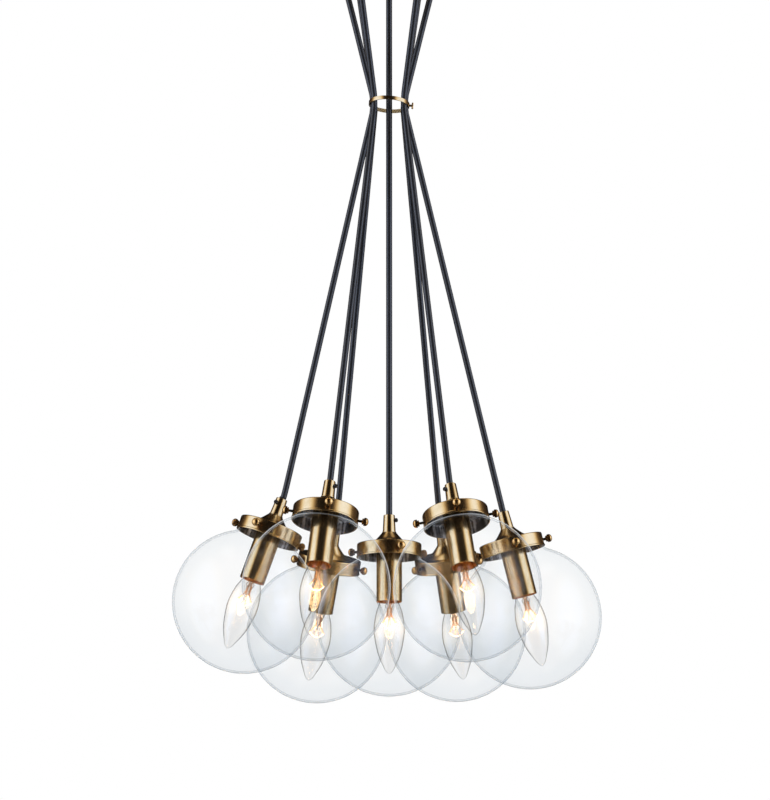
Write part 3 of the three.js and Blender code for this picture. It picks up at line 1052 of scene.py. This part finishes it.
for name in DROPS:
    matrix = head_matrix(name)
    _, _, set_angle, screws = SIDES[name]
    body = "bundle" if name == "centre" else "drop_" + name
    place("cap_" + name, drill(holder_mesh(), screws), matrix, body, "holder_" + name, slot="brass")
    facing = matrix @ Matrix.Translation((0, 0, -SET_SCREW_DEPTH * MM))
    facing = facing @ Matrix.Rotation(math.radians(set_angle), 4, "Z")
    place("set_screw_" + name, set_screw, facing, body)
    place("socket_cover_" + name, socket, matrix, body, "socket_" + name, slot="brass")
    place("lampholder_" + name, lampholder, matrix, body)
    bulb = place("lamp_envelope_" + name, lamp, matrix, "bulb_" + name, "lamp_" + name, slot="lamp_glass")
    bulb.visible_shadow = False
    bulb.visible_diffuse = False
    place("lamp_base_" + name, lamp_base, matrix, "bulb_" + name)
    hot = place("lamp_filament_" + name, filament, matrix, "bulb_" + name)
    hot.visible_shadow = False
    whole = globe.copy()
    whole.transform(matrix)
    upright = Matrix.Identity(4)
    glass = place("glass_" + name, whole, upright, "glass_" + name, "globe_" + name, slot="globe_glass")
    glass.visible_shadow = False
    glass.visible_diffuse = False
    for index, angle in enumerate(screws):
        tail = name + "_" + str(index + 1)
        spun = matrix @ Matrix.Rotation(math.radians(angle), 4, "Z")
        place("knob_" + tail, thumb_screw, spun, "screw_" + tail, "thumb_screw_" + tail, slot="screw_brass")


# Ring and its screw
def ring_mesh():
    """Thin band that gathers the cords, paler on its inside as painted light."""
    half = RING_HEIGHT / 2
    profile = rounded(
        [
            (RING_INNER, -half, 0.25),
            (RING_OUTER, -half, 0.3),
            (RING_OUTER, half, 0.3),
            (RING_INNER, half, 0.25),
        ],
        4,
        closed=True,
    )
    mesh = lathe("ring", profile, 128, closed=True)
    return two_tone(mesh, brass, ring_inside_painted_light, lambda centre, normal: centre.xy.length < RING_INNER + 0.1)


def ring_screw_mesh():
    """Short shank out of the ring along +X, with a bar across its end."""
    tip = RING_INNER - 0.27
    end = tip + 4.4
    outline = [(0, tip), (1.2, tip, 0.2), (1.2, end + 0.6, 0.2), (0, end + 0.6)]
    shank = lathe("ring_shank", rounded(outline, 3), 24)
    shank.transform(Matrix.Rotation(math.radians(90), 4, "Y"))
    bar = lathe("ring_bar", rounded([(0, -3.5), (0.95, -3.5, 0.5), (0.95, 3.5, 0.5), (0, 3.5)], 4), 24)
    bar.transform(Matrix.Translation((end * MM, 0, 0)))
    shank.materials.append(brass_screw)
    bar.materials.append(brass_screw)
    return joined("ring_bar", [shank, bar])


ring_matrix = Matrix.Translation((0, 0, RING_Z * MM))
ring_matrix = ring_matrix @ Matrix.Rotation(math.radians(RING_PITCH), 4, "X")
ring_matrix = ring_matrix @ Matrix.Rotation(math.radians(RING_ROLL), 4, "Y")
place("ring_band", ring_mesh(), ring_matrix, "bundle", "gather_ring", slot="brass")
screw = ring_screw_mesh()
place("ring_bar", screw, ring_matrix, "ring_screw", "gather_ring_screw", slot="screw_brass")


# Canopy and its cord grips
def canopy_mesh():
    """Round dish, open at the top, against the ceiling."""
    wall = CANOPY_RADIUS - CANOPY_WALL
    profile = rounded(
        [
            (0, -CANOPY_HEIGHT),
            (CANOPY_RADIUS, -CANOPY_HEIGHT, CANOPY_EDGE),
            (CANOPY_RADIUS, 0, 0.3),
            (wall, 0, 0.3),
            (wall, -CANOPY_HEIGHT + CANOPY_WALL, CANOPY_EDGE - CANOPY_WALL),
            (0, -CANOPY_HEIGHT + CANOPY_WALL),
        ],
        8,
    )
    mesh = lathe("canopy", profile, 160)
    mesh.materials.append(brass)
    return mesh


def grip_mesh():
    """Tapered plug round a cord, fluted round its side, with its narrow end down."""
    profile = rounded(
        [
            (0, 0.1),
            (3.5, 0.1),
            (3.7, 0, 0.1),
            (4.9, 0, 0.4),
            (6.4, 5.0, 0.8),
            (6.4, GRIP_LENGTH - 1.6, 0.3),
            (7.4, GRIP_LENGTH - 1.4, 0.3),
            (7.4, GRIP_LENGTH, 0.1),
            (0, GRIP_LENGTH),
        ],
        4,
    )

    def flutes(radius, height, turn):
        if radius > 6 and 5.5 < height < GRIP_LENGTH - 2.2:
            return radius + GRIP_FLUTE_DEPTH * math.cos(GRIP_FLUTES * turn)
        return radius

    mesh = lathe("grip", profile, 108, shape=flutes)
    mesh.materials.append(brass)
    return mesh


place("canopy_dish", canopy_mesh(), Matrix.Identity(4), "ceiling", "canopy", slot="brass")
grip = grip_mesh()
for name in DROPS:
    side, step, _, _ = SIDES[name]
    spot = polar(0 if name == "centre" else GRIP_CIRCLE, side + step * GRIP_SPREAD, GRIP_Z)
    place("cord_grip_" + name, grip, Matrix.Translation(spot * MM), "ceiling")

bracket = frame["nodes"]["ceiling_bracket"]
bracket.data.materials.clear()
bracket.data.materials.append(zinc)


# Floor, world and lamps
def stage_material():
    """Pale floor with the object's shadow, clear from below.

    To the camera it lets part of the white behind it through, and all of it towards its edge. Where metal
    and glass mirror it, it is dim and lets half of the room through.
    """
    material, graph = new_material("floor_pale")
    mirrors = graph.add("LightPath").outputs["Glossy Depth"]
    colour = graph.ramp(mirrors, [(0.0, (0.9, 0.9, 0.9)), (1.0, (0.14, 0.13, 0.12))])
    pale = graph.add("BsdfPrincipled", Base_Color=colour, Roughness=0.9)
    away = graph.vector("LENGTH", "Value", graph.coordinates("Object"))
    fade = graph.smooth(away, FLOOR_FADE_START, FLOOR_FADE_END, FLOOR_CLEAR, 1.0)
    seen = graph.maths("MULTIPLY", graph.unmirrored(), fade)
    seen = graph.maths("MAXIMUM", seen, graph.ranged(mirrors, 0.0, 0.5))
    below = graph.add("NewGeometry").outputs["Backfacing"]
    share = graph.maths("MAXIMUM", seen, below)
    graph.finish(graph.mixed(share, pale, graph.add("BsdfTransparent")))
    return material


def make_floor():
    mesh = bpy.data.meshes.new("floor")
    corners = [(-1, -1), (1, -1), (1, 1), (-1, 1)]
    points = [(x * FLOOR_REACH, y * FLOOR_REACH, FLOOR_HEIGHT) for x, y in corners]
    mesh.from_pydata(points, [], [(0, 1, 2, 3)])
    link("floor", mesh, stage_material())


def make_world():
    """White behind everything. Metal and glass mirror a dim room with a tall pale screen on each side.

    The room is pale overhead too, and darker towards the back. Its places are directions, each between -1
    and 1: X to the right, Y to the back and Z up.
    """
    world = bpy.data.worlds.new("studio")
    bpy.context.scene.world = world
    world.use_nodes = True
    graph = Graph(world.node_tree, "World")
    way = graph.add("SeparateXYZ", Vector=graph.coordinates("Generated")).outputs
    aside = graph.maths("ABSOLUTE", way["X"])
    screens = graph.smooth(aside, 0.36, 0.8, 0.0, 1.0)
    front = graph.smooth(way["Y"], -0.1, 0.5, 1.0, 0.16)
    above = graph.smooth(way["Z"], 0.78, 0.95, 0.0, 0.8)
    above = graph.maths("MULTIPLY", above, graph.smooth(aside, 0.08, 0.32, 0.15, 1.0))
    level = graph.maths("MULTIPLY", graph.maths("MAXIMUM", screens, above), front)
    room = graph.add("Background", Color=graph.ramp(level, ROOM_SHADES), Strength=ROOM_STRENGTH)
    white = graph.add("Background", Color=(1, 1, 1, 1), Strength=1.0)
    graph.finish(graph.mixed(graph.unmirrored(), room, white))


def add_light(name, data):
    """Lamp that the camera sees neither straight on nor through glass."""
    light = bpy.data.objects.new(name, data)
    bpy.context.scene.collection.objects.link(light)
    light.visible_camera = False
    light.visible_transmission = False
    return light


def area_light(name, spot, size, power):
    data = bpy.data.lights.new(name, "AREA")
    data.shape = "RECTANGLE"
    data.size, data.size_y = size
    data.energy = power
    light = add_light(name, data)
    light.location = spot
    aim = Vector(LIGHT_TARGET) - Vector(spot)
    light.rotation_euler = aim.to_track_quat("-Z", "Y").to_euler()
    light.visible_glossy = False


make_floor()
make_world()
area_light("softbox_left", (-2.6, -1.7, 0.1), (0.9, 2.4), 42)
area_light("softbox_right", (2.6, -1.7, 0.1), (0.9, 2.4), 42)
area_light("softbox_top", (0, -0.6, 2.4), (2.0, 1.2), 30)

for name in DROPS:
    data = bpy.data.lights.new("glow_" + name, "POINT")
    data.energy = 0.1
    data.color = (1.0, 0.62, 0.3)
    data.shadow_soft_size = 0.006
    light = add_light("glow_" + name, data)
    light.matrix_world = head_matrix(name) @ Matrix.Translation((0, 0, (SOCKET_END - GLOW_DEPTH) * MM))
    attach(light, "bulb_" + name)

bpy.context.scene.view_settings.view_transform = "Standard"
